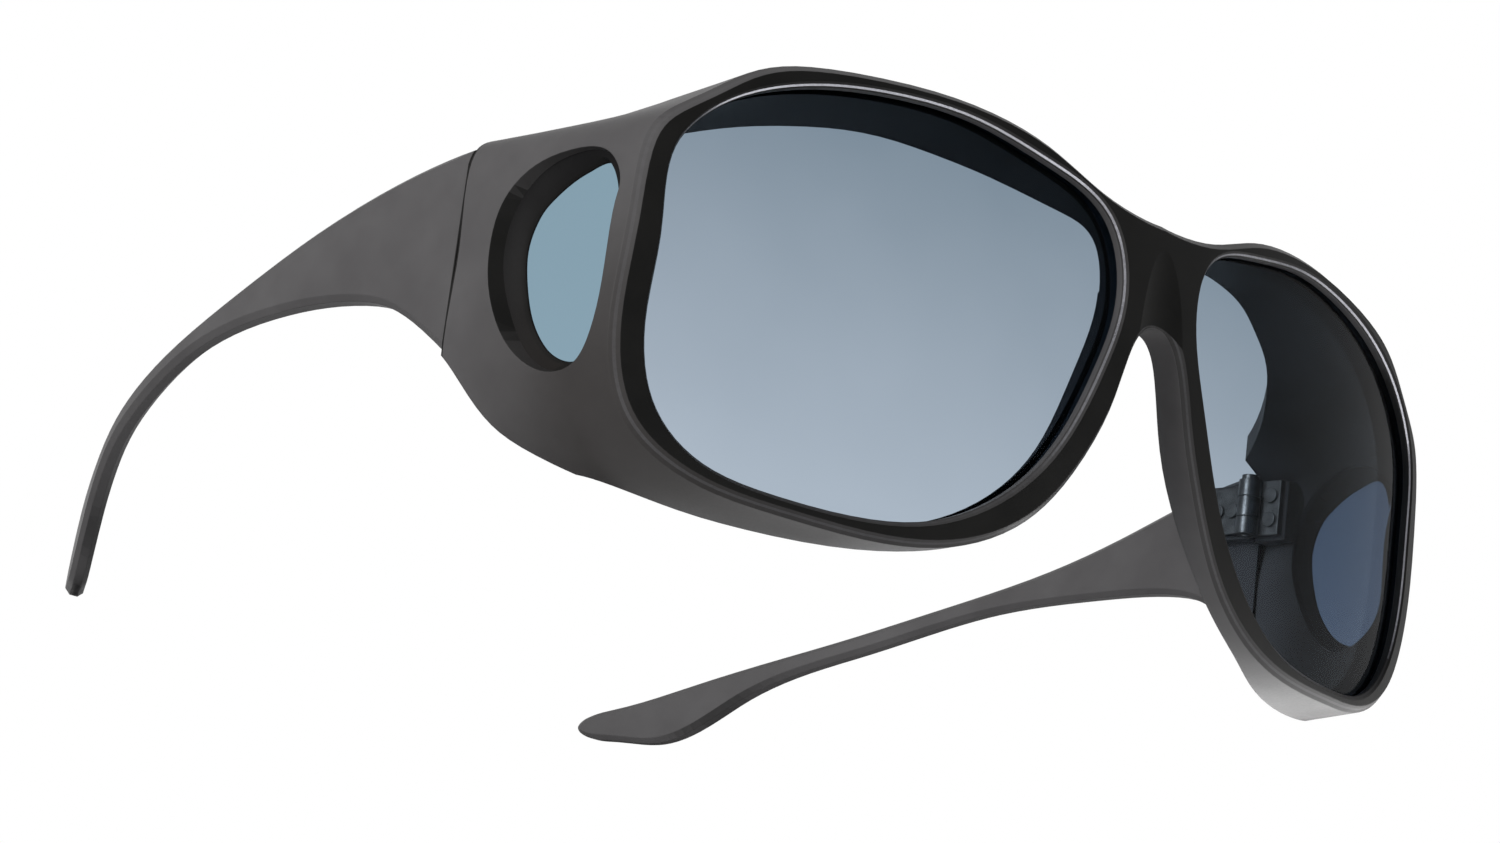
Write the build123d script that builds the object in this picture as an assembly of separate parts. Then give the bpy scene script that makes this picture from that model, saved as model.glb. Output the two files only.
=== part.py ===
from build123d import *
import math
import os

# Fitover sunglasses in millimetres: +X is the wearer's left, the front faces -Y, +Z is up.
# The origin is under the middle of the object, on the surface that it rests on.

# Front: overall sizes
half_width = 72.0
front_height = 54.0
front_base = 1.5
overall_depth = 148.5
front_radius = 195.0
shield_depth = 40.2
shield_flare_angle = 6.6
shield_droop_angle = 4.0
outer_bevel = 0.8
opening_bevel = 0.6
bevel_try_shares = (1.0, 0.9, 0.75, 0.6)
cut_overrun = 6.0

# Front lenses
lens_thickness = 1.8
lens_setback = 1.4
lens_groove_depth = 0.8
lens_clearance = 0.04

# Side windows and side lenses
shield_wall = 3.3
window_front_share = 0.438
window_length_share = 0.448
window_bottom_share = 0.206
window_height_share = 0.487
window_front_slope = 0.8
window_rear_slope = 2.1
window_lower_slope = 1.4
window_upper_slope = 0.6
side_lens_thickness = 1.4
side_lens_margin = 0.8
side_lens_clearance = 0.04
side_lens_depth = 0.1

# Bridge
bridge_scoop_radius = 13.0
bridge_scoop_depth = 0.8

# Temples
temple_thickness = 3.8
temple_inward_bend = 31.0
temple_bevel = 0.7
seam_gap = 0.2

# Hinges
hinge_seat_inset = 1.9
hinge_top_share = 0.731
knuckle_radius = 1.6
knuckle_seat_gap = 0.2
knuckle_outer_height = 2.4
knuckle_middle_height = 2.8
knuckle_gap = 0.1
leaf_thickness = 1.0
leaf_swing_gap = 0.2
front_leaf_length = 4.6
temple_leaf_length = 7.6
temple_leaf_height = 6.6
seat_margin = 0.6
seat_depth = 2.2
screw_shank_radius = 0.7
screw_head_radius = 1.25
screw_head_height = 0.7
screw_slot_width = 0.35
screw_slot_depth = 0.3
screw_tip_length = 0.3
screw_clearance = 0.03
rivet_shank_radius = 0.6
rivet_head_radius = 1.05
rivet_head_height = 0.4
rivet_depth = 1.6
rivet_clearance = 0.02
rivet_place_shares = (0.28, 0.72)

# Where the front and the seam lie along Y
front_y = -overall_depth / 2
seam_y = front_y + shield_depth
rear_y = front_y + overall_depth
flare = math.tan(math.radians(shield_flare_angle))
droop = math.tan(math.radians(shield_droop_angle))

# Outer edge of the left half of the front, from the top of the bridge to the nose arch
rim_shares = [
    (0.0, 0.890),
    (0.06, 0.890),
    (0.15, 0.910),
    (0.27, 0.966),
    (0.43, 1.0),
    (0.60, 0.998),
    (0.738, 0.978),
    (0.848, 0.932),
    (0.928, 0.833),
    (0.98, 0.705),
    (1.0, 0.55),
    (1.0, 0.28),
    (0.958, 0.135),
    (0.85, 0.04),
    (0.69, 0.006),
    (0.53, 0.0),
    (0.385, 0.03),
    (0.24, 0.135),
    (0.142, 0.305),
    (0.094, 0.44),
    (0.065, 0.56),
    (0.045, 0.613),
    (0.022, 0.64),
    (0.0, 0.647),
]

# Edge of the left lens opening
opening_shares = [
    (0.923, 0.758),
    (0.865, 0.866),
    (0.729, 0.943),
    (0.59, 0.965),
    (0.436, 0.963),
    (0.28, 0.926),
    (0.13, 0.845),
    (0.098, 0.71),
    (0.137, 0.51),
    (0.222, 0.285),
    (0.35, 0.125),
    (0.455, 0.063),
    (0.57, 0.040),
    (0.72, 0.045),
    (0.85, 0.085),
    (0.926, 0.18),
    (0.952, 0.29),
    (0.955, 0.50),
]

# The same two outlines at the seam, where the upper outer corner is lower and sharper
rim_seam_shares = rim_shares[:5] + [
    (0.60, 0.97),
    (0.75, 0.93),
    (0.895, 0.843),
    (0.985, 0.788),
    (1.003, 0.69),
] + rim_shares[10:]
opening_seam_shares = [
    (0.952, 0.725),
    (0.885, 0.778),
    (0.735, 0.86),
    (0.59, 0.93),
] + opening_shares[4:]

# Rear edge of the brow shelf and of the lower shelf, seen from above
brow_edge_shares = [
    (0.0, 0.11),
    (0.07, 0.115),
    (0.115, 0.125),
    (0.168, 0.205),
    (0.29, 0.305),
    (0.41, 0.40),
    (0.53, 0.48),
    (0.62, 0.55),
    (0.72, 0.635),
    (0.80, 0.735),
    (0.87, 0.845),
    (0.935, 0.985),
    (1.05, 1.3),
]
lower_edge_shares = [
    (0.0, 0.11),
    (0.07, 0.115),
    (0.115, 0.125),
    (0.20, 0.12),
    (0.27, 0.13),
    (0.33, 0.15),
    (0.39, 0.18),
    (0.48, 0.25),
    (0.60, 0.35),
    (0.74, 0.45),
    (0.85, 0.52),
    (0.92, 0.62),
    (0.955, 0.80),
    (0.985, 1.1),
]
shelf_split_share = 0.70

# Lower rear edge of the side shield, seen from the side
shield_edge_shares = [
    (0.30, -0.06),
    (0.46, -0.022),
    (0.62, 0.022),
    (0.74, 0.065),
    (0.82, 0.105),
    (0.90, 0.175),
    (1.0, 0.262),
]

# The D shape of the side window, from its front edge round by the bottom
window_shares = [
    (0.0, 0.78),
    (0.02, 0.50),
    (0.05, 0.20),
    (0.19, 0.03),
    (0.38, 0.0),
    (0.62, 0.07),
    (0.86, 0.28),
    (1.0, 0.57),
    (0.93, 0.79),
    (0.72, 0.94),
    (0.44, 1.0),
    (0.14, 0.97),
]

# Temple seen from the side, from the top of the seam round the tip to the bottom of the seam:
# shares of its length and of the front's height
temple_side_shares = [
    (0.0, 0.722),
    (0.11, 0.678),
    (0.23, 0.600),
    (0.375, 0.500),
    (0.55, 0.395),
    (0.735, 0.263),
    (0.855, 0.160),
    (0.957, 0.066),
    (0.992, 0.030),
    (1.0, 0.004),
    (0.99, -0.017),
    (0.96, -0.024),
    (0.90, -0.020),
    (0.85, 0.035),
    (0.80, 0.122),
    (0.735, 0.203),
    (0.64, 0.278),
    (0.46, 0.388),
    (0.30, 0.422),
    (0.17, 0.420),
    (0.11, 0.398),
    (0.05, 0.338),
    (0.0, 0.270),
]

# Temple seen from above: shares of its length, of its inward bend and of its thickness
temple_plan_shares = [
    (0.0, 0.0, 1.0),
    (0.07, -0.008, 0.96),
    (0.25, -0.03, 0.78),
    (0.385, 0.005, 0.71),
    (0.475, 0.054, 0.69),
    (0.577, 0.134, 0.68),
    (0.675, 0.247, 0.68),
    (0.77, 0.405, 0.68),
    (0.85, 0.56, 0.67),
    (0.93, 0.73, 0.66),
    (1.02, 0.93, 0.66),
]


def at_front(x_share, z_share, y):
    """A point of the front's outline, which widens and droops towards the rear."""
    back = y - front_y
    x = x_share * (half_width + flare * back)
    return Vector(x, y, front_base + z_share * front_height - droop * back)


def outline_points(front_shares, seam_shares, y):
    """An outline at depth y, on its way from the front to the seam."""
    share = min(y - front_y, shield_depth + cut_overrun) / shield_depth
    points = []
    for (front_x, front_z), (seam_x, seam_z) in zip(front_shares, seam_shares):
        x_share = front_x + (seam_x - front_x) * share
        z_share = front_z + (seam_z - front_z) * share
        points.append(at_front(x_share, z_share, y))
    return points


def grown_points(points, growth, across):
    """Points of a counterclockwise outline moved outward; across is its level direction."""
    curve = Spline(*points, periodic=True)
    moved = []
    for i in range(len(points)):
        share = i / len(points)
        tangent = curve % share
        outward = across * tangent.Z - Vector(0, 0, 1) * tangent.dot(across)
        moved.append(curve @ share + outward * growth)
    return moved


def opening_face(y, growth=0.0):
    """The left lens opening at depth y, grown outward on all sides."""
    points = outline_points(opening_shares, opening_seam_shares, y)
    if growth:
        points = grown_points(points, growth, Vector(1, 0, 0))
    return make_face(Spline(*points, periodic=True))


def rim_face(y):
    """The left half of the front at depth y, closed along the middle plane."""
    points = outline_points(rim_shares, rim_seam_shares, y)
    edge = Spline(*points)
    return make_face(edge + Line(points[-1], points[0]))


def front_ball(setback):
    """Everything behind the curved front surface, moved back by the setback."""
    centre_z = front_base + front_height / 2
    return Pos(0, front_y + front_radius, centre_z) * Sphere(front_radius - setback)


def front_prism(face_at, start, end):
    """A solid between two depths that follows the front's flare and droop."""
    return loft([face_at(start), face_at(end)], ruled=True)


def plan_cut(shares, bottom, top):
    """A solid behind a shelf edge that is given in plan."""
    points = [
        Vector(sx * half_width, front_y + sy * shield_depth, bottom)
        for sx, sy in shares
    ]
    far_y = seam_y + half_width
    corners = [
        points[-1],
        Vector(points[-1].X, far_y, bottom),
        Vector(points[0].X, far_y, bottom),
        points[0],
    ]
    outline = Spline(*points) + Polyline(*corners)
    return extrude(make_face(outline), top - bottom, dir=(0, 0, 1))


def shield_cut():
    """A solid behind the seam and under the rising lower edge of the shield."""
    points = [
        Vector(0, front_y + sy * shield_depth, front_base + sz * front_height)
        for sy, sz in shield_edge_shares
    ]
    top_z = front_base + front_height + cut_overrun
    bottom_z = points[0].Z - cut_overrun
    far_y = seam_y + half_width
    corners = [
        points[-1],
        Vector(0, seam_y, top_z),
        Vector(0, far_y, top_z),
        Vector(0, far_y, bottom_z),
        Vector(0, points[0].Y, bottom_z),
        points[0],
    ]
    outline = Spline(*points) + Polyline(*corners)
    return extrude(make_face(outline), half_width * 2, dir=(1, 0, 0))


# The left shield's inner face: a plane along the flare, with its outward and rearward directions
widest_share = max(sx for sx, sz in opening_shares)
shield_outward = Vector(1, -flare * widest_share, 0).normalized()
shield_rearward = Vector(flare * widest_share, 1, 0).normalized()


def on_shield(along, z, outward):
    """A point given by its distance behind the front, its height and its depth in the wall."""
    inner = Vector(widest_share * (half_width + flare * along), front_y + along, z)
    return inner + shield_outward * outward


def window_face(outward, growth=0.0):
    """The window's outline at a depth in the wall, where 0 is its inner face."""
    ease = 1.0 - outward / shield_wall
    outer_front = window_front_share * shield_depth
    outer_bottom = front_base + window_bottom_share * front_height
    front = outer_front + window_front_slope * ease
    rear = outer_front + window_length_share * shield_depth - window_rear_slope * ease
    bottom = outer_bottom + window_lower_slope * ease
    top = outer_bottom + window_height_share * front_height - window_upper_slope * ease
    points = [
        on_shield(front + sy * (rear - front), bottom + sz * (top - bottom), outward)
        for sy, sz in window_shares
    ]
    if growth:
        points = grown_points(points, growth, shield_rearward)
    return make_face(Spline(*points, periodic=True))


def lens_pocket(margin, start, thickness):
    """A plate along the shield with the outline of the window's inner end."""
    outline = window_face(0.0, margin)
    return extrude(outline.moved(Pos(*(shield_outward * start))), thickness, dir=shield_outward)


def window_cut():
    """The tapered hole through the left shield and the pocket of its side lens."""
    hole = loft([window_face(0.0), window_face(shield_wall + cut_overrun)], ruled=True)
    depth = side_lens_thickness + side_lens_clearance - side_lens_depth
    return hole + lens_pocket(side_lens_margin, -cut_overrun, cut_overrun + depth)


def side_lens():
    margin = side_lens_margin - side_lens_clearance
    return lens_pocket(margin, -side_lens_depth, side_lens_thickness)


def lens_slab(growth, setback, thickness):
    """The part of the opening, grown on all sides, between two curved surfaces."""
    def grown_face(y):
        return opening_face(y, growth)
    column = front_prism(grown_face, front_y - cut_overrun, front_y + half_width / 2)
    return (column & front_ball(setback)) - front_ball(setback + thickness)


def front_lens():
    growth = lens_groove_depth - lens_clearance
    return lens_slab(growth, lens_setback + lens_clearance, lens_thickness)


def lens_groove():
    return lens_slab(lens_groove_depth, lens_setback, lens_thickness + lens_clearance * 2)


# Hinge places: the vertical axis stands clear of the seat faces inside the shield and the temple
hinge_seat_x = on_shield(shield_depth, 0, -hinge_seat_inset).X
hinge_top = at_front(0, hinge_top_share, seam_y).Z
axis_x = hinge_seat_x - knuckle_seat_gap - knuckle_radius
axis_y = seam_y + seam_gap / 2
knuckle_stack = knuckle_outer_height * 2 + knuckle_middle_height + knuckle_gap * 2
hinge_bottom = hinge_top - knuckle_stack
middle_bottom = hinge_bottom + knuckle_outer_height + knuckle_gap
middle_top = middle_bottom + knuckle_middle_height
leaf_inner_x = hinge_seat_x - leaf_thickness
front_leaf_start = seam_y - front_leaf_length
front_leaf_end = axis_y - knuckle_radius - leaf_swing_gap
temple_leaf_start = axis_y + knuckle_radius + leaf_swing_gap
temple_leaf_end = seam_y + temple_leaf_length
temple_leaf_bottom = (middle_bottom + middle_top - temple_leaf_height) / 2


def block(x0, x1, y0, y1, z0, z1):
    """A box between two corners."""
    size = (x1 - x0, y1 - y0, z1 - z0)
    return Pos((x0 + x1) / 2, (y0 + y1) / 2, (z0 + z1) / 2) * Box(*size)


def upright(radius, bottom, top):
    """A cylinder on the hinge axis."""
    return Pos(axis_x, axis_y, (bottom + top) / 2) * Cylinder(radius, top - bottom)


def screw_hole():
    """The hole down all the knuckles."""
    radius = screw_shank_radius + screw_clearance
    return upright(radius, hinge_bottom - cut_overrun, hinge_top + cut_overrun)


def rivet_places(start, end, bottom, top, along):
    """Two rivet centres on a leaf, spread along its length or its height."""
    places = []
    for share in rivet_place_shares:
        if along:
            places.append(((start + (end - start) * share), (bottom + top) / 2))
        else:
            places.append(((start + end) / 2, bottom + (top - bottom) * share))
    return places


front_rivets = rivet_places(front_leaf_start, front_leaf_end, hinge_bottom, hinge_top, False)
temple_leaf_top = temple_leaf_bottom + temple_leaf_height
temple_rivets = rivet_places(
    temple_leaf_start, temple_leaf_end, temple_leaf_bottom, temple_leaf_top, True
)


def cross_pin(place, radius, start_x, end_x):
    """A cylinder along X at a rivet's place."""
    y, z = place
    middle = Pos((start_x + end_x) / 2, y, z) * Rot(0, 90, 0)
    return middle * Cylinder(radius, end_x - start_x)


def rivet_holes(places):
    radius = rivet_shank_radius + rivet_clearance
    end_x = hinge_seat_x + rivet_depth + rivet_clearance
    return [cross_pin(place, radius, leaf_inner_x - cut_overrun, end_x) for place in places]


def rivets(places):
    made = []
    for place in places:
        head = cross_pin(place, rivet_head_radius, leaf_inner_x - rivet_head_height, leaf_inner_x)
        shank = cross_pin(place, rivet_shank_radius, leaf_inner_x, hinge_seat_x + rivet_depth)
        made.append(head + shank)
    return Compound(children=made)


def hinge_seat(near_y, far_y, bottom, top):
    """A raised flat seat for a leaf, from its sloped end near_y to its square end far_y."""
    slope = seat_margin if far_y > near_y else -seat_margin
    deep_x = hinge_seat_x + seat_depth
    outline = Polyline(
        (deep_x, near_y - slope * 2, bottom),
        (hinge_seat_x, near_y, bottom),
        (hinge_seat_x, far_y, bottom),
        (deep_x, far_y, bottom),
        close=True,
    )
    return extrude(make_face(outline), top - bottom, dir=(0, 0, 1))


def bevelled(edges, size):
    """Bevels the edges, a little smaller where the full bevel doesn't fit."""
    for share in bevel_try_shares:
        try:
            return chamfer(edges, size * share)
        except ValueError:
            print("bevel at share", share, "does not fit")
    raise ValueError("no bevel fits")


def front_surface(body):
    """The curved front face of a body."""
    return body.faces().filter_by(GeomType.SPHERE).sort_by(Axis.Y)[0]


def front_half():
    """The left half of the one-piece front."""
    start = front_y - cut_overrun
    end = seam_y + cut_overrun
    split_z = front_base + shelf_split_share * front_height
    top_z = front_base + front_height + cut_overrun
    body = front_prism(rim_face, start, end) & front_ball(0)
    outer_edge = front_surface(body).outer_wire().edges().sort_by(SortBy.LENGTH)[-1]
    body = bevelled(outer_edge, outer_bevel) - front_prism(opening_face, start, end)
    body = bevelled(front_surface(body).inner_wires()[0].edges(), opening_bevel)
    body -= plan_cut(brow_edge_shares, split_z, top_z)
    body -= plan_cut(lower_edge_shares, -cut_overrun, split_z)
    body -= shield_cut()
    body -= lens_groove()
    seat_bottom = hinge_bottom - seat_margin
    body += hinge_seat(front_leaf_start - seat_margin, seam_y, seat_bottom, hinge_top)
    body -= window_cut()
    for hole in rivet_holes(front_rivets):
        body -= hole
    return body


def front_frame():
    """Both halves as one moulding, with a shallow scoop down the front of the bridge."""
    half = front_half()
    whole = half + mirror(half, about=Plane.YZ)
    scoop_y = front_y + bridge_scoop_depth - bridge_scoop_radius
    scoop = Pos(0, scoop_y, front_base + front_height / 2)
    scoop *= Cylinder(bridge_scoop_radius, front_height * 2)
    return whole - scoop


temple_start = seam_y + seam_gap
temple_length = rear_y - temple_start


def temple_side():
    """The temple's outline from the side, as a solid across the whole left side."""
    points = [
        Vector(0, temple_start + along * temple_length, front_base + sz * front_height)
        for along, sz in temple_side_shares
    ]
    outline = Spline(*points) + Line(points[-1], points[0])
    return extrude(make_face(outline), half_width * 2, dir=(1, 0, 0))


def temple_band():
    """The temple's outline from above, as a solid over the whole height."""
    root_x = half_width + flare * shield_depth
    outer = [
        Vector(root_x - inward * temple_inward_bend, temple_start + along * temple_length)
        for along, inward, thickness in temple_plan_shares
    ]
    path = Spline(*outer)
    inner = []
    for i in range(len(outer)):
        heading = path % path.param_at_point(outer[i])
        inward = Vector(-heading.Y, heading.X)
        inner.append(outer[i] + inward * temple_plan_shares[i][2] * temple_thickness)
    outline = path + Line(outer[-1], inner[-1]) + Spline(*inner) + Line(inner[0], outer[0])
    bottom = Pos(0, 0, -cut_overrun)
    return extrude(bottom * make_face(outline), front_height + cut_overrun * 2, dir=(0, 0, 1))


def temple():
    """A bar that grows deep at the seam, bends inward and ends in a paddle."""
    root = front_prism(rim_face, temple_start, rear_y + cut_overrun)
    body = temple_side() & temple_band()
    long_edges = [e for e in body.edges() if e.length > temple_length]
    body = bevelled(long_edges, temple_bevel) & root
    bottom = temple_leaf_bottom - seat_margin
    top = temple_leaf_top + seat_margin
    body += hinge_seat(temple_leaf_end + seat_margin, temple_start, bottom, top)
    for hole in rivet_holes(temple_rivets):
        body -= hole
    return body


def front_hinge_leaf():
    """Plate on the shield with the upper and lower knuckles."""
    leaf = block(leaf_inner_x, hinge_seat_x, front_leaf_start, front_leaf_end, hinge_bottom, hinge_top)
    levels = [
        (hinge_bottom, hinge_bottom + knuckle_outer_height),
        (hinge_top - knuckle_outer_height, hinge_top),
    ]
    arm_x = axis_x + knuckle_radius
    for low, high in levels:
        leaf += block(leaf_inner_x, arm_x, front_leaf_end - leaf_thickness, axis_y, low, high)
        leaf += upright(knuckle_radius, low, high)
    leaf -= screw_hole()
    for hole in rivet_holes(front_rivets):
        leaf -= hole
    return leaf


def temple_hinge_leaf():
    """Plate on the temple with the middle knuckle."""
    leaf = block(
        leaf_inner_x, hinge_seat_x, temple_leaf_start, temple_leaf_end,
        temple_leaf_bottom, temple_leaf_top,
    )
    arm_x = axis_x + knuckle_radius
    arm_end = temple_leaf_start + leaf_thickness
    leaf += block(leaf_inner_x, arm_x, axis_y, arm_end, middle_bottom, middle_top)
    leaf += upright(knuckle_radius, middle_bottom, middle_top)
    leaf -= screw_hole()
    for hole in rivet_holes(temple_rivets):
        leaf -= hole
    return leaf


def hinge_screw():
    """Screw down the hinge axis, with a slotted head on the upper knuckle."""
    screw = upright(screw_shank_radius, hinge_bottom - screw_tip_length, hinge_top)
    screw += upright(screw_head_radius, hinge_top, hinge_top + screw_head_height)
    slot = Pos(axis_x, axis_y, hinge_top + screw_head_height)
    screw -= slot * Box(screw_slot_width, screw_head_radius * 3, screw_slot_depth * 2)
    return screw


def write_both(name, shape):
    """Writes the wearer's left piece and its mirror image for the right side."""
    export_step(shape, f"parts/left_{name}.step")
    export_step(mirror(shape, about=Plane.YZ), f"parts/right_{name}.step")


os.makedirs("parts", exist_ok=True)
export_step(front_frame(), "parts/front_frame.step")
write_both("front_lens", front_lens())
write_both("side_lens", side_lens())
write_both("temple", temple())
write_both("front_hinge_leaf", front_hinge_leaf())
write_both("temple_hinge_leaf", temple_hinge_leaf())
write_both("hinge_screw", hinge_screw())
write_both("front_leaf_rivets", rivets(front_rivets))
write_both("temple_leaf_rivets", rivets(temple_rivets))
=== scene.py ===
import math

import bpy
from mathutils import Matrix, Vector


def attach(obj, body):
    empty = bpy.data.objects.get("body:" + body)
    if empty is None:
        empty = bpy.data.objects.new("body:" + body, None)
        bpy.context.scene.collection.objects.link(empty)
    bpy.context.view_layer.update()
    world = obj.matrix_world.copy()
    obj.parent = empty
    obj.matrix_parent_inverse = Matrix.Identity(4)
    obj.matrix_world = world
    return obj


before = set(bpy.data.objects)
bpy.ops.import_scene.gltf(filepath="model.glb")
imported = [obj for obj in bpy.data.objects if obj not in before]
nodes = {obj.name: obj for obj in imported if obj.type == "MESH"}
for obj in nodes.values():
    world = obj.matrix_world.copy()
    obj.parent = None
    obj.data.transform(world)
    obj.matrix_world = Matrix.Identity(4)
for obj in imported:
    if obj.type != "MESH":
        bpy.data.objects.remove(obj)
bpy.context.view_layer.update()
scene = bpy.context.scene
scene.view_settings.view_transform = "Standard"
SIDES = ("right", "left")

# Camera: in front of the wearer's right side and below, as in the photograph
CAMERA_PLACE = (-0.3372, -0.35936, -0.0907)
CAMERA_TURN = (104.0713, -6.9845, -45.3045)
SENSOR_WIDTH = 36.0
FOCAL_LENGTH = 91.2
CLIP_NEAR = 0.01
CLIP_FAR = 50.0

# Places on the part: its foremost point, the seam of shield and temple and half its width, the
# distance from the middle beyond which the shields lie, and the shields' width and flare
FRONT_Y = -0.07425
SEAM_Y = -0.03395
SEAM_HALF = 0.0003
SHIELD_X = 0.064
HALF_WIDTH = 0.072
WIDTH_SHARE = 0.955
SHIELD_FLARE = 6.6

# The lens openings: centre, rearmost point of the bevels, the ball that the front is curved like,
# and the depths behind that ball between which the polished line with its painted highlight runs
OPENING_CENTRE = (0.038, 0.0285)
OPENING_REAR = -0.056
FRONT_BALL_RADIUS = 0.195
FRONT_BALL_CENTRE = (0.0, FRONT_Y + FRONT_BALL_RADIUS, 0.0285)
LINE_DEPTHS = (0.00026, 0.00046)
LINE_SLOPES = (-0.93, -0.42)
LINE_EDGE = 0.004

# Where the side windows lie: lowest and highest y, then z
WINDOW_BOX = ((-0.0567, -0.0372), (0.0120, 0.0392))
# The turn below which a window wall counts as upright, and how far these walls take painted shade
WALL_TURN = 0.93
WALL_DARKNESS = 0.6

# Ramps of the plastic's masks: where each starts and ends, then its value at the start and the end.
# A turn is a part of the face's direction, and a side is a distance from the middle.
# Painted shade: faces turned forward are blackened
FRONT_FACE_TURN = (-0.60, -0.80, 0.0, 1.0)
# Painted shadow on the shields' inner faces, deeper towards the front
INNER_SHADOW_TURN = (-0.15, -0.45, 0.0, 0.9)
INNER_SHADOW_SIDE = (0.050, 0.058, 0.0, 1.0)
INNER_SHADOW_FRONT = (SEAM_Y - 0.001, SEAM_Y - 0.010, 0.0, 1.0)
# Painted shade, darker and browner, on the lower, forward part of the shields
LOW_HEIGHT = (0.038, 0.016, 0.0, 0.62)
LOW_SIDE = (0.040, 0.060, 0.0, 1.0)
LOW_FRONT = (SEAM_Y - 0.002, SEAM_Y - 0.018, 0.0, 1.0)
# The line's painted highlight: lighter on inner bevels that face down and towards -x, faint on outer
# bevels that face down
INNER_LINE_TURN = (-0.1, 0.5, 0.05, 1.0)
OUTER_LINE_TURN = (0.2, -0.5, 0.03, 0.11)
LINE_AIM_X = -0.9
LINE_AIM_Z = -1.6

# Outlines of a side window and of the glass that shows in it, as shares of their length and height,
# from the front edge round by the bottom
WINDOW_SHARES = ((0.0, 0.78), (0.02, 0.50), (0.05, 0.20), (0.19, 0.03), (0.38, 0.0), (0.62, 0.07),
                 (0.86, 0.28), (1.0, 0.57), (0.93, 0.79), (0.72, 0.94), (0.44, 1.0), (0.14, 0.97))
GLASS_SHARES = ((0.0, 0.78), (0.02, 0.50), (0.05, 0.20), (0.19, 0.03), (0.38, 0.0), (0.64, 0.08),
                (0.87, 0.27), (1.0, 0.56), (0.92, 0.76), (0.72, 0.88), (0.44, 0.97), (0.14, 1.0))

# Loops round the ledge, from the wall in to the glass and back under: lowest and highest corner,
# both as distance behind the front and height, then shares and depth in the wall
LEDGE_LOOPS = (
    ((0.0176, 0.0123), (0.0366, 0.0390), WINDOW_SHARES, 0.0021),
    ((0.0185, 0.0133), (0.0352, 0.0381), WINDOW_SHARES, 0.0020),
    ((0.0186, 0.0140), (0.0322, 0.0373), GLASS_SHARES, 0.0017),
    ((0.0186, 0.0144), (0.0316, 0.0370), GLASS_SHARES, 0.0013),
    ((0.0176, 0.0123), (0.0366, 0.0390), WINDOW_SHARES, 0.0013),
)
LEDGE_STEPS = 10
SHARP_ANGLE = 40

# Finish of the plastic, of its less glossy copy that paints shade on the window ledges, and of its
# polished line
PLASTIC_GLOSS = 0.04
RECESS_GLOSS = 0.015
PLASTIC_ROUGHNESS = (0.36, 0.48)
LINE_SMOOTHING = 0.20
LINE_METAL = 0.45

# Shades in pairs of dark and light
PLASTIC_GREYS = ((0.043, 0.0415, 0.0425), (0.054, 0.0525, 0.0535))
# Near black of the window ledges: painted shade
RECESS_SHADE_GREYS = ((0.0045, 0.0044, 0.0046), (0.0075, 0.0074, 0.0076))
# Near black, for painted shade on forward faces, window walls and the shields' inner faces, and for the
# dark seam edges
BLACKS = ((0.0045, 0.0045, 0.0043), (0.0075, 0.0073, 0.007))
# Lighter grey of the polished line: a painted highlight
LINE_HIGHLIGHT_GREYS = ((0.15, 0.15, 0.165), (0.21, 0.21, 0.228))
STEEL_GREYS = ((0.055, 0.054, 0.053), (0.11, 0.108, 0.105))
FLOOR_GREYS = ((0.80, 0.80, 0.80), (0.84, 0.84, 0.84))
# Brown of the painted shade on the lower shields
LOW_BROWN = (0.012, 0.0103, 0.0092, 1.0)
WHITE = (1.0, 1.0, 1.0, 1.0)

# Lens tints: top, then bottom
FRONT_TINT = ((0.19, 0.25, 0.31), (0.40, 0.47, 0.55))
# The left side lens is tinted darker than the right one: painted shade
SIDE_TINTS = {"right": ((0.225, 0.335, 0.405), (0.25, 0.37, 0.45)),
              "left": ((0.115, 0.155, 0.225), (0.13, 0.17, 0.24))}
TINT_HEIGHTS = (0.005, 0.052)

FLOOR_HALF = 2.0
SOFT_STRENGTH = 0.14
WHITE_STRENGTH = 1.0

# Lamps: name, place, target, size, power, whether they show in reflections
LAMPS = (
    ("key", (-2.1, 0.08, 0.62), (0.0, -0.03, 0.03), (1.0, 0.6), 46.0, True),
    ("low", (-1.0, -0.04, -0.15), (0.0, -0.03, 0.02), (0.5, 0.2), 2.0, True),
    ("top", (-1.2, -0.15, 1.4), (0.0, 0.0, 0.03), (0.8, 0.8), 14.0, True),
    ("front", (-0.6, -0.8, -0.35), (0.0, -0.05, 0.02), (0.4, 0.4), 5.0, True),
    ("fill", (1.4, 0.5, 0.8), (0.0, 0.0, 0.03), (0.9, 0.9), 11.0, False),
)

# Cards just over the floor, in front of the lenses and facing up, which show in reflections alone
CARDS = (
    ("card_left", (0.08, -0.095, 0.0001), (0.08, -0.095, 1.0), (0.16, 0.09), 0.22, True),
    ("card_right", (-0.07, -0.095, 0.0001), (-0.07, -0.095, 1.0), (0.14, 0.09), 0.07, True),
)


def add_camera():
    data = bpy.data.cameras.new("camera")
    data.sensor_width = SENSOR_WIDTH
    data.lens = FOCAL_LENGTH
    data.clip_start = CLIP_NEAR
    data.clip_end = CLIP_FAR
    camera = bpy.data.objects.new("camera", data)
    scene.collection.objects.link(camera)
    camera.location = CAMERA_PLACE
    camera.rotation_euler = [math.radians(angle) for angle in CAMERA_TURN]
    scene.camera = camera


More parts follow.
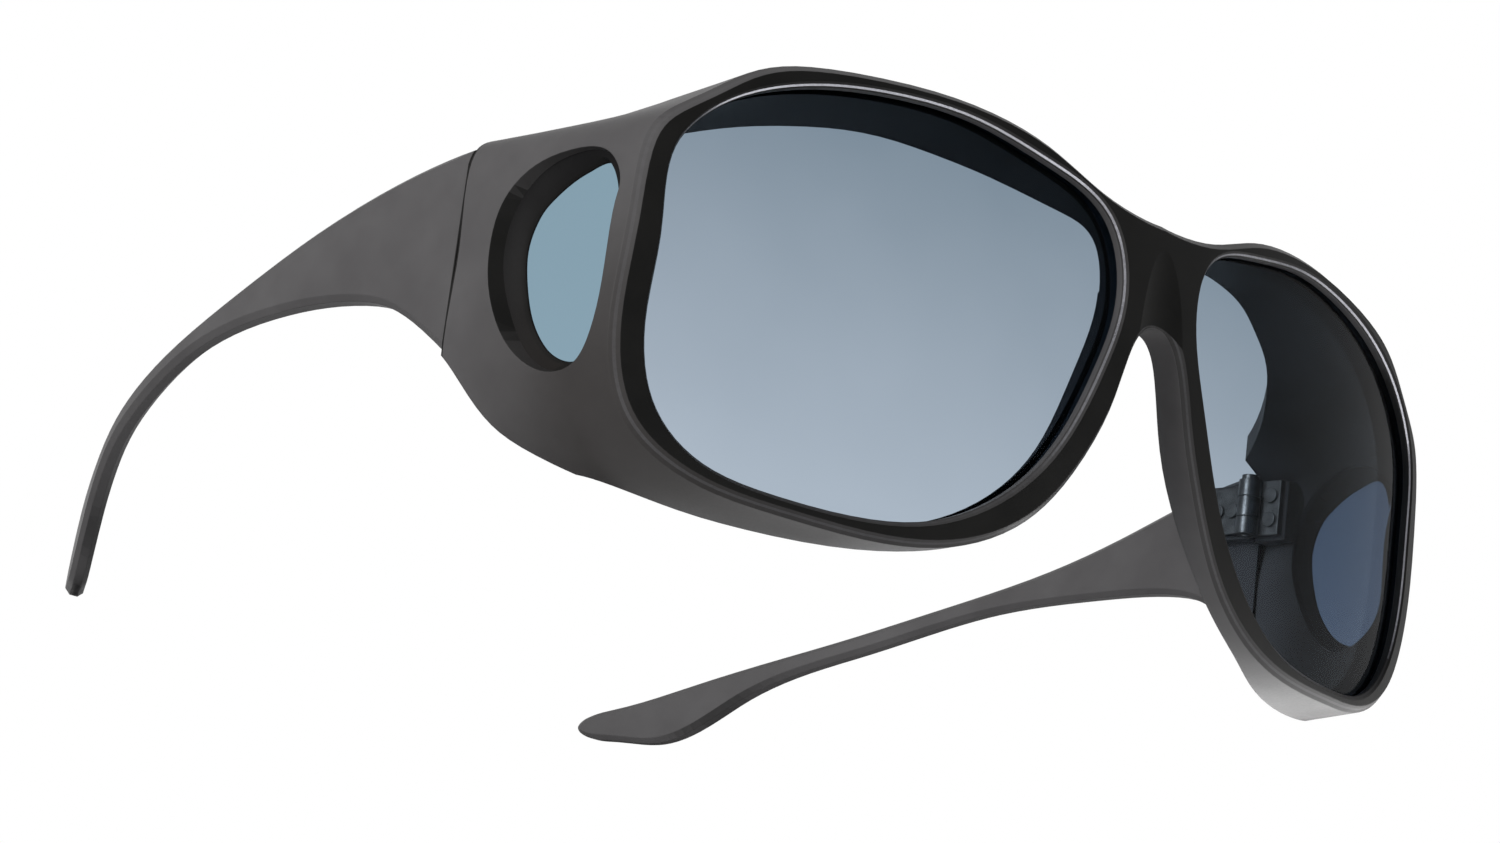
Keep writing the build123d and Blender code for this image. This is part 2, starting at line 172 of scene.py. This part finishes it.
class Tree:
    """The node tree of a material or a world, with short calls to add and link nodes."""

    def __init__(self, owner):
        owner.use_nodes = True
        self.owner = owner
        self.nodes = owner.node_tree.nodes
        self.links = owner.node_tree.links
        self.nodes.clear()

    def add(self, kind, values=None, **settings):
        node = self.nodes.new("ShaderNode" + kind)
        for key, value in settings.items():
            setattr(node, key, value)
        for key, value in (values or {}).items():
            if isinstance(value, bpy.types.NodeSocket):
                self.links.new(value, node.inputs[key])
            else:
                node.inputs[key].default_value = value
        return node

    def math(self, operation, a, b=0.0):
        return self.add("Math", {0: a, 1: b}, operation=operation).outputs[0]

    def product(self, first, *others):
        for other in others:
            first = self.math("MULTIPLY", first, other)
        return first

    def largest(self, first, *others):
        for other in others:
            first = self.math("MAXIMUM", first, other)
        return first

    def between(self, value, low, high):
        """1 where value lies between low and high, 0 elsewhere."""
        return self.product(self.math("GREATER_THAN", value, low), self.math("LESS_THAN", value, high))

    def size(self, value):
        return self.math("ABSOLUTE", value)

    def parts(self, vector):
        """The X, Y and Z sockets of a vector."""
        return self.add("SeparateXYZ", {"Vector": vector}).outputs

    def blend(self, factor, first, second):
        return self.add("Mix", {"Factor": factor, 6: first, 7: second}, data_type="RGBA").outputs[2]

    def ramp(self, factor, places, colours):
        """A run of colour from the first place on a factor to the second."""
        node = self.nodes.new("ShaderNodeValToRGB")
        for element, place, colour in zip(node.color_ramp.elements, places, colours):
            element.position = place
            element.color = (*colour, 1.0)
        self.links.new(factor, node.inputs["Fac"])
        return node.outputs["Color"]

    def spread(self, factor, low, high, to_low, to_high):
        """A value that goes from to_low to to_high while factor goes from low to high."""
        node = self.add("MapRange", {"Value": factor, "From Min": low, "From Max": high,
                                     "To Min": to_low, "To Max": to_high})
        return node.outputs["Result"]

    def output(self, surface, kind="OutputMaterial"):
        node = self.add(kind)
        self.links.new(surface, node.inputs["Surface"])
        return self.owner


def new_tree(name):
    return Tree(bpy.data.materials.new(name))


# Masks of the plastic: p holds the sockets of the place and n those of the face's direction, both in
# the piece's own frame, so that they hold at every pose
def window_wall(t, p, n):
    """1 on the walls of the side windows, 0 elsewhere."""
    (low_y, high_y), (low_z, high_z) = WINDOW_BOX
    upright = t.math("LESS_THAN", t.size(n["X"]), WALL_TURN)
    outer = t.math("GREATER_THAN", t.size(p["X"]), SHIELD_X)
    return t.product(upright, t.between(p["Y"], low_y, high_y), t.between(p["Z"], low_z, high_z), outer)


def seam_edge(t, p):
    """1 on the narrow edges that face each other across the seam of shield and temple."""
    near = t.math("LESS_THAN", t.size(t.math("SUBTRACT", p["Y"], SEAM_Y)), SEAM_HALF)
    return t.product(near, t.math("GREATER_THAN", t.size(p["X"]), SHIELD_X))


def painted_shield_shadow(t, p, n):
    """The inner faces of the side shields, for the deep shadow that the photograph has there."""
    inward = t.spread(t.product(n["X"], t.math("SIGN", p["X"])), *INNER_SHADOW_TURN)
    outer = t.spread(t.size(p["X"]), *INNER_SHADOW_SIDE)
    return t.product(inward, outer, t.spread(p["Y"], *INNER_SHADOW_FRONT))


def lower_shade(t, p):
    """The lower part of the side shields, which the photograph has in a darker, browner light."""
    low = t.spread(p["Z"], *LOW_HEIGHT)
    return t.product(low, t.spread(p["Y"], *LOW_FRONT), t.spread(t.size(p["X"]), *LOW_SIDE))


def polish_and_highlight_line(t, place, p, n):
    """The polished line along the bevels, in a lighter grey as a painted highlight: 1 at the top of
    each lens opening, fading to the bottom.
    """
    across = t.product(t.math("SUBTRACT", t.size(p["X"]), OPENING_CENTRE[0]), t.math("SIGN", p["X"]))
    above = t.math("SUBTRACT", p["Z"], OPENING_CENTRE[1])
    turn = t.math("ADD", t.product(n["X"], across), t.product(n["Z"], above))
    outer = t.math("GREATER_THAN", turn, LINE_EDGE)
    inner = t.math("LESS_THAN", turn, -LINE_EDGE)
    front = t.math("LESS_THAN", p["Y"], OPENING_REAR)
    reach = t.add("VectorMath", {0: place, 1: FRONT_BALL_CENTRE}, operation="DISTANCE").outputs["Value"]
    band = t.between(t.math("SUBTRACT", FRONT_BALL_RADIUS, reach), *LINE_DEPTHS)
    lit = t.math("ADD", t.product(n["Z"], LINE_AIM_Z), t.product(n["X"], LINE_AIM_X))
    inner_line = t.product(inner, t.spread(lit, *INNER_LINE_TURN))
    outer_line = t.product(outer, t.spread(n["Z"], *OUTER_LINE_TURN))
    line = t.math("ADD", inner_line, outer_line)
    return t.product(line, band, t.between(n["Y"], *LINE_SLOPES), front)


def moulded_plastic(name, greys, gloss):
    """Matte charcoal plastic: spark-eroded grain, faint mottling, a polished line round the lenses with
    a painted highlight, and painted shade on the forward faces, the window walls, the shields' inner
    faces and their lower part.
    """
    t = new_tree(name)
    place = t.add("TexCoord").outputs["Object"]
    facing = t.add("VectorTransform", {"Vector": t.add("NewGeometry").outputs["True Normal"]},
                   vector_type="NORMAL", convert_from="WORLD", convert_to="OBJECT")
    p = t.parts(place)
    n = t.parts(facing.outputs["Vector"])
    mottle = t.add("TexNoise", {"Vector": place, "Scale": 110.0, "Detail": 3.0,
                                "Roughness": 0.55}).outputs["Fac"]
    grain = t.add("TexNoise", {"Vector": place, "Scale": 2600.0, "Detail": 4.0,
                               "Roughness": 0.65}).outputs["Fac"]
    pits = t.add("TexVoronoi", {"Vector": place, "Scale": 1500.0}).outputs["Distance"]

    # Painted shade: faces turned forward take the blacks
    front_face = t.spread(n["Y"], *FRONT_FACE_TURN)
    # Painted shade on the walls of the side windows
    wall = t.product(window_wall(t, p, n), WALL_DARKNESS)
    # Near black for painted shade and shadow, and for the dark seam edges
    dark = t.largest(front_face, wall, seam_edge(t, p), painted_shield_shadow(t, p, n))
    line = polish_and_highlight_line(t, place, p, n)
    mottle_stops = (0.30, 0.72)
    colour = t.blend(lower_shade(t, p), t.ramp(mottle, mottle_stops, greys), LOW_BROWN)
    colour = t.blend(dark, colour, t.ramp(mottle, mottle_stops, BLACKS))
    # Painted highlight: the polished line in a lighter grey
    colour = t.blend(line, colour, t.ramp(grain, (0.35, 0.65), LINE_HIGHLIGHT_GREYS))

    rough = t.spread(t.math("ADD", mottle, grain), 0.6, 1.4, *PLASTIC_ROUGHNESS)
    rough = t.math("SUBTRACT", rough, t.product(line, LINE_SMOOTHING))
    rounded = t.add("Bevel", {"Radius": 0.00025}, samples=4)
    bump = t.add("Bump", {"Strength": 0.10, "Distance": 0.00003, "Height": t.product(grain, pits),
                          "Normal": rounded.outputs["Normal"]})
    shader = t.add("BsdfPrincipled", {
        "Base Color": colour, "Roughness": rough, "Normal": bump.outputs["Normal"],
        "Metallic": t.product(line, LINE_METAL), "IOR": 1.5, "Specular IOR Level": gloss,
    })
    return t.output(shader.outputs["BSDF"])


def tinted_lens(name, tints):
    """Smooth grey-blue lens, a little darker at the top, with a faint moulding ripple."""
    top, bottom = tints
    t = new_tree(name)
    place = t.add("TexCoord").outputs["Object"]
    cloud = t.add("TexNoise", {"Vector": place, "Scale": 60.0, "Detail": 2.0})
    shade = t.math("ADD", t.spread(t.parts(place)["Z"], *TINT_HEIGHTS, 0.0, 1.0),
                   t.spread(cloud.outputs["Fac"], 0.3, 0.7, -0.04, 0.04))
    colour = t.ramp(shade, (0.0, 1.0), (bottom, top))
    ripple = t.add("TexNoise", {"Vector": place, "Scale": 35.0, "Detail": 1.0})
    bump = t.add("Bump", {"Strength": 0.05, "Distance": 0.0002, "Height": ripple.outputs["Fac"]})
    shader = t.add("BsdfPrincipled", {
        "Base Color": colour, "Roughness": 0.02, "IOR": 1.06, "Transmission Weight": 1.0,
        "Normal": bump.outputs["Normal"],
    })
    lamp_light = t.add("BsdfTransparent", {"Color": colour})
    shadow = t.add("LightPath").outputs["Is Shadow Ray"]
    mix = t.add("MixShader", {"Fac": shadow, 1: shader.outputs["BSDF"], 2: lamp_light.outputs["BSDF"]})
    return t.output(mix.outputs["Shader"])


def brushed_steel():
    """Dark steel of the hinge leaves, screws and rivets, with fine brushing and tumbling marks."""
    t = new_tree("brushed_steel")
    place = t.add("TexCoord").outputs["Object"]
    stretched = t.add("Mapping", {"Vector": place, "Scale": (1.0, 0.12, 1.0)})
    lines = t.add("TexNoise", {"Vector": stretched.outputs["Vector"], "Scale": 9000.0, "Detail": 3.0})
    stain = t.add("TexNoise", {"Vector": place, "Scale": 700.0, "Detail": 3.0})
    colour = t.ramp(stain.outputs["Fac"], (0.3, 0.7), STEEL_GREYS)
    rough = t.spread(lines.outputs["Fac"], 0.3, 0.7, 0.26, 0.44)
    rounded = t.add("Bevel", {"Radius": 0.00018}, samples=4)
    bump = t.add("Bump", {"Strength": 0.15, "Distance": 0.00002, "Height": lines.outputs["Fac"],
                          "Normal": rounded.outputs["Normal"]})
    shader = t.add("BsdfPrincipled", {
        "Base Color": colour, "Metallic": 1.0, "Roughness": rough, "Normal": bump.outputs["Normal"],
    })
    return t.output(shader.outputs["BSDF"])


def one_sided_floor():
    """Pale matte floor with a faint paper grain. It is clear from below and to the light of lamps."""
    t = new_tree("pale_floor")
    place = t.add("TexCoord").outputs["Object"]
    grain = t.add("TexNoise", {"Vector": place, "Scale": 400.0, "Detail": 3.0})
    colour = t.ramp(grain.outputs["Fac"], (0.3, 0.7), FLOOR_GREYS)
    paper = t.add("BsdfPrincipled", {"Base Color": colour, "Roughness": 0.9, "Specular IOR Level": 0.1})
    clear = t.add("BsdfTransparent")
    below = t.add("NewGeometry").outputs["Backfacing"]
    lamp = t.add("LightPath").outputs["Is Shadow Ray"]
    mix = t.add("MixShader", {"Fac": t.largest(below, lamp), 1: paper.outputs["BSDF"],
                              2: clear.outputs["BSDF"]})
    return t.output(mix.outputs["Shader"])


def dress(node, material):
    mesh = nodes[node].data
    mesh.materials.clear()
    mesh.materials.append(material)


def add_floor():
    far = FLOOR_HALF
    corners = [(-far, -far, 0), (far, -far, 0), (far, far, 0), (-far, far, 0)]
    mesh = bpy.data.meshes.new("floor")
    mesh.from_pydata(corners, [], [(0, 1, 2, 3)])
    mesh.materials.append(one_sided_floor())
    floor = bpy.data.objects.new("floor", mesh)
    scene.collection.objects.link(floor)


def add_world():
    """Faint even light, with a white background for the camera and in what the part reflects."""
    scene.world = bpy.data.worlds.new("studio")
    t = Tree(scene.world)
    path = t.add("LightPath").outputs
    soft = t.add("Background", {"Color": WHITE, "Strength": SOFT_STRENGTH})
    white = t.add("Background", {"Color": WHITE, "Strength": WHITE_STRENGTH})
    seen = t.largest(path["Is Camera Ray"], path["Is Glossy Ray"], path["Is Transmission Ray"])
    mix = t.add("MixShader", {"Fac": seen, 1: soft.outputs["Background"],
                              2: white.outputs["Background"]})
    t.output(mix.outputs["Shader"], "OutputWorld")


def add_lamp(name, place, target, size, power, gloss):
    data = bpy.data.lights.new(name, "AREA")
    data.shape = "RECTANGLE"
    data.size, data.size_y = size
    data.energy = power
    lamp = bpy.data.objects.new(name, data)
    scene.collection.objects.link(lamp)
    lamp.location = place
    aim = Vector(target) - Vector(place)
    lamp.rotation_euler = aim.to_track_quat("-Z", "Y").to_euler()
    lamp.visible_camera = False
    lamp.visible_transmission = False
    lamp.visible_glossy = gloss
    return lamp


# Window ledges: the step moulded inside each side window, wide at the rear, in painted shade
def smooth_loop(points, steps):
    """A closed smooth line through points, with steps divisions between neighbours."""
    line = []
    count = len(points)
    for i in range(count):
        p0, p1, p2, p3 = (Vector(points[(i + k) % count]) for k in (-1, 0, 1, 2))
        for j in range(steps):
            u = j / steps
            square = (2.0 * p0 - 5.0 * p1 + 4.0 * p2 - p3) * u * u
            cube = (3.0 * p1 - p0 - 3.0 * p2 + p3) * u ** 3
            line.append(0.5 * (2.0 * p1 + (p2 - p0) * u + square + cube))
    return line


def shield_point(sign, along, height, outward):
    """A point on a shield, from the distance behind the front, the height and the depth in the wall."""
    flare = math.tan(math.radians(SHIELD_FLARE)) * WIDTH_SHARE
    away = Vector((1.0, -flare, 0.0)).normalized() * outward
    point = Vector((WIDTH_SHARE * HALF_WIDTH + flare * along, FRONT_Y + along, height)) + away
    return Vector((sign * point.x, point.y, point.z))


def ledge_loops(sign):
    loops = []
    for low, high, shares, outward in LEDGE_LOOPS:
        outline = [(low[0] + a * (high[0] - low[0]), low[1] + b * (high[1] - low[1]), 0.0)
                   for a, b in shares]
        line = smooth_loop(outline, LEDGE_STEPS)
        loops.append([shield_point(sign, point.x, point.y, outward) for point in line])
    return loops


def add_window_ledge(side, material):
    sign = 1.0 if side == "left" else -1.0
    loops = ledge_loops(sign)
    count = len(loops[0])
    faces = []
    for k in range(len(loops)):
        after = (k + 1) % len(loops)
        for i in range(count):
            j = (i + 1) % count
            quad = (k * count + i, k * count + j, after * count + j, after * count + i)
            faces.append(quad if sign > 0 else quad[::-1])
    mesh = bpy.data.meshes.new(f"{side}_window_ledge")
    mesh.from_pydata([point for loop in loops for point in loop], [], faces)
    mesh.materials.append(material)
    for polygon in mesh.polygons:
        polygon.use_smooth = True
    mesh.set_sharp_from_angle(angle=math.radians(SHARP_ANGLE))
    ledge = bpy.data.objects.new(f"{side}_window_ledge", mesh)
    scene.collection.objects.link(ledge)
    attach(ledge, "front")


add_camera()
plastic = moulded_plastic("moulded_plastic", PLASTIC_GREYS, PLASTIC_GLOSS)
# A darker, less glossy copy of the plastic, which paints shade on the window ledges
recess = moulded_plastic("recess_shade_plastic", RECESS_SHADE_GREYS, RECESS_GLOSS)
steel = brushed_steel()
front_tint = tinted_lens("lens_tint", FRONT_TINT)
dress("front_frame", plastic)
for side in SIDES:
    dress(f"{side}_temple", plastic)
    dress(f"{side}_front_lens", front_tint)
    dress(f"{side}_side_lens", tinted_lens(f"{side}_side_tint", SIDE_TINTS[side]))
    for part in ("front_hinge_leaf", "temple_hinge_leaf", "hinge_screw",
                 "front_leaf_rivets", "temple_leaf_rivets"):
        dress(f"{side}_{part}", steel)
    add_window_ledge(side, recess)

add_floor()
add_world()
for lamp in LAMPS:
    add_lamp(*lamp)
for card in CARDS:
    add_lamp(*card).visible_diffuse = False
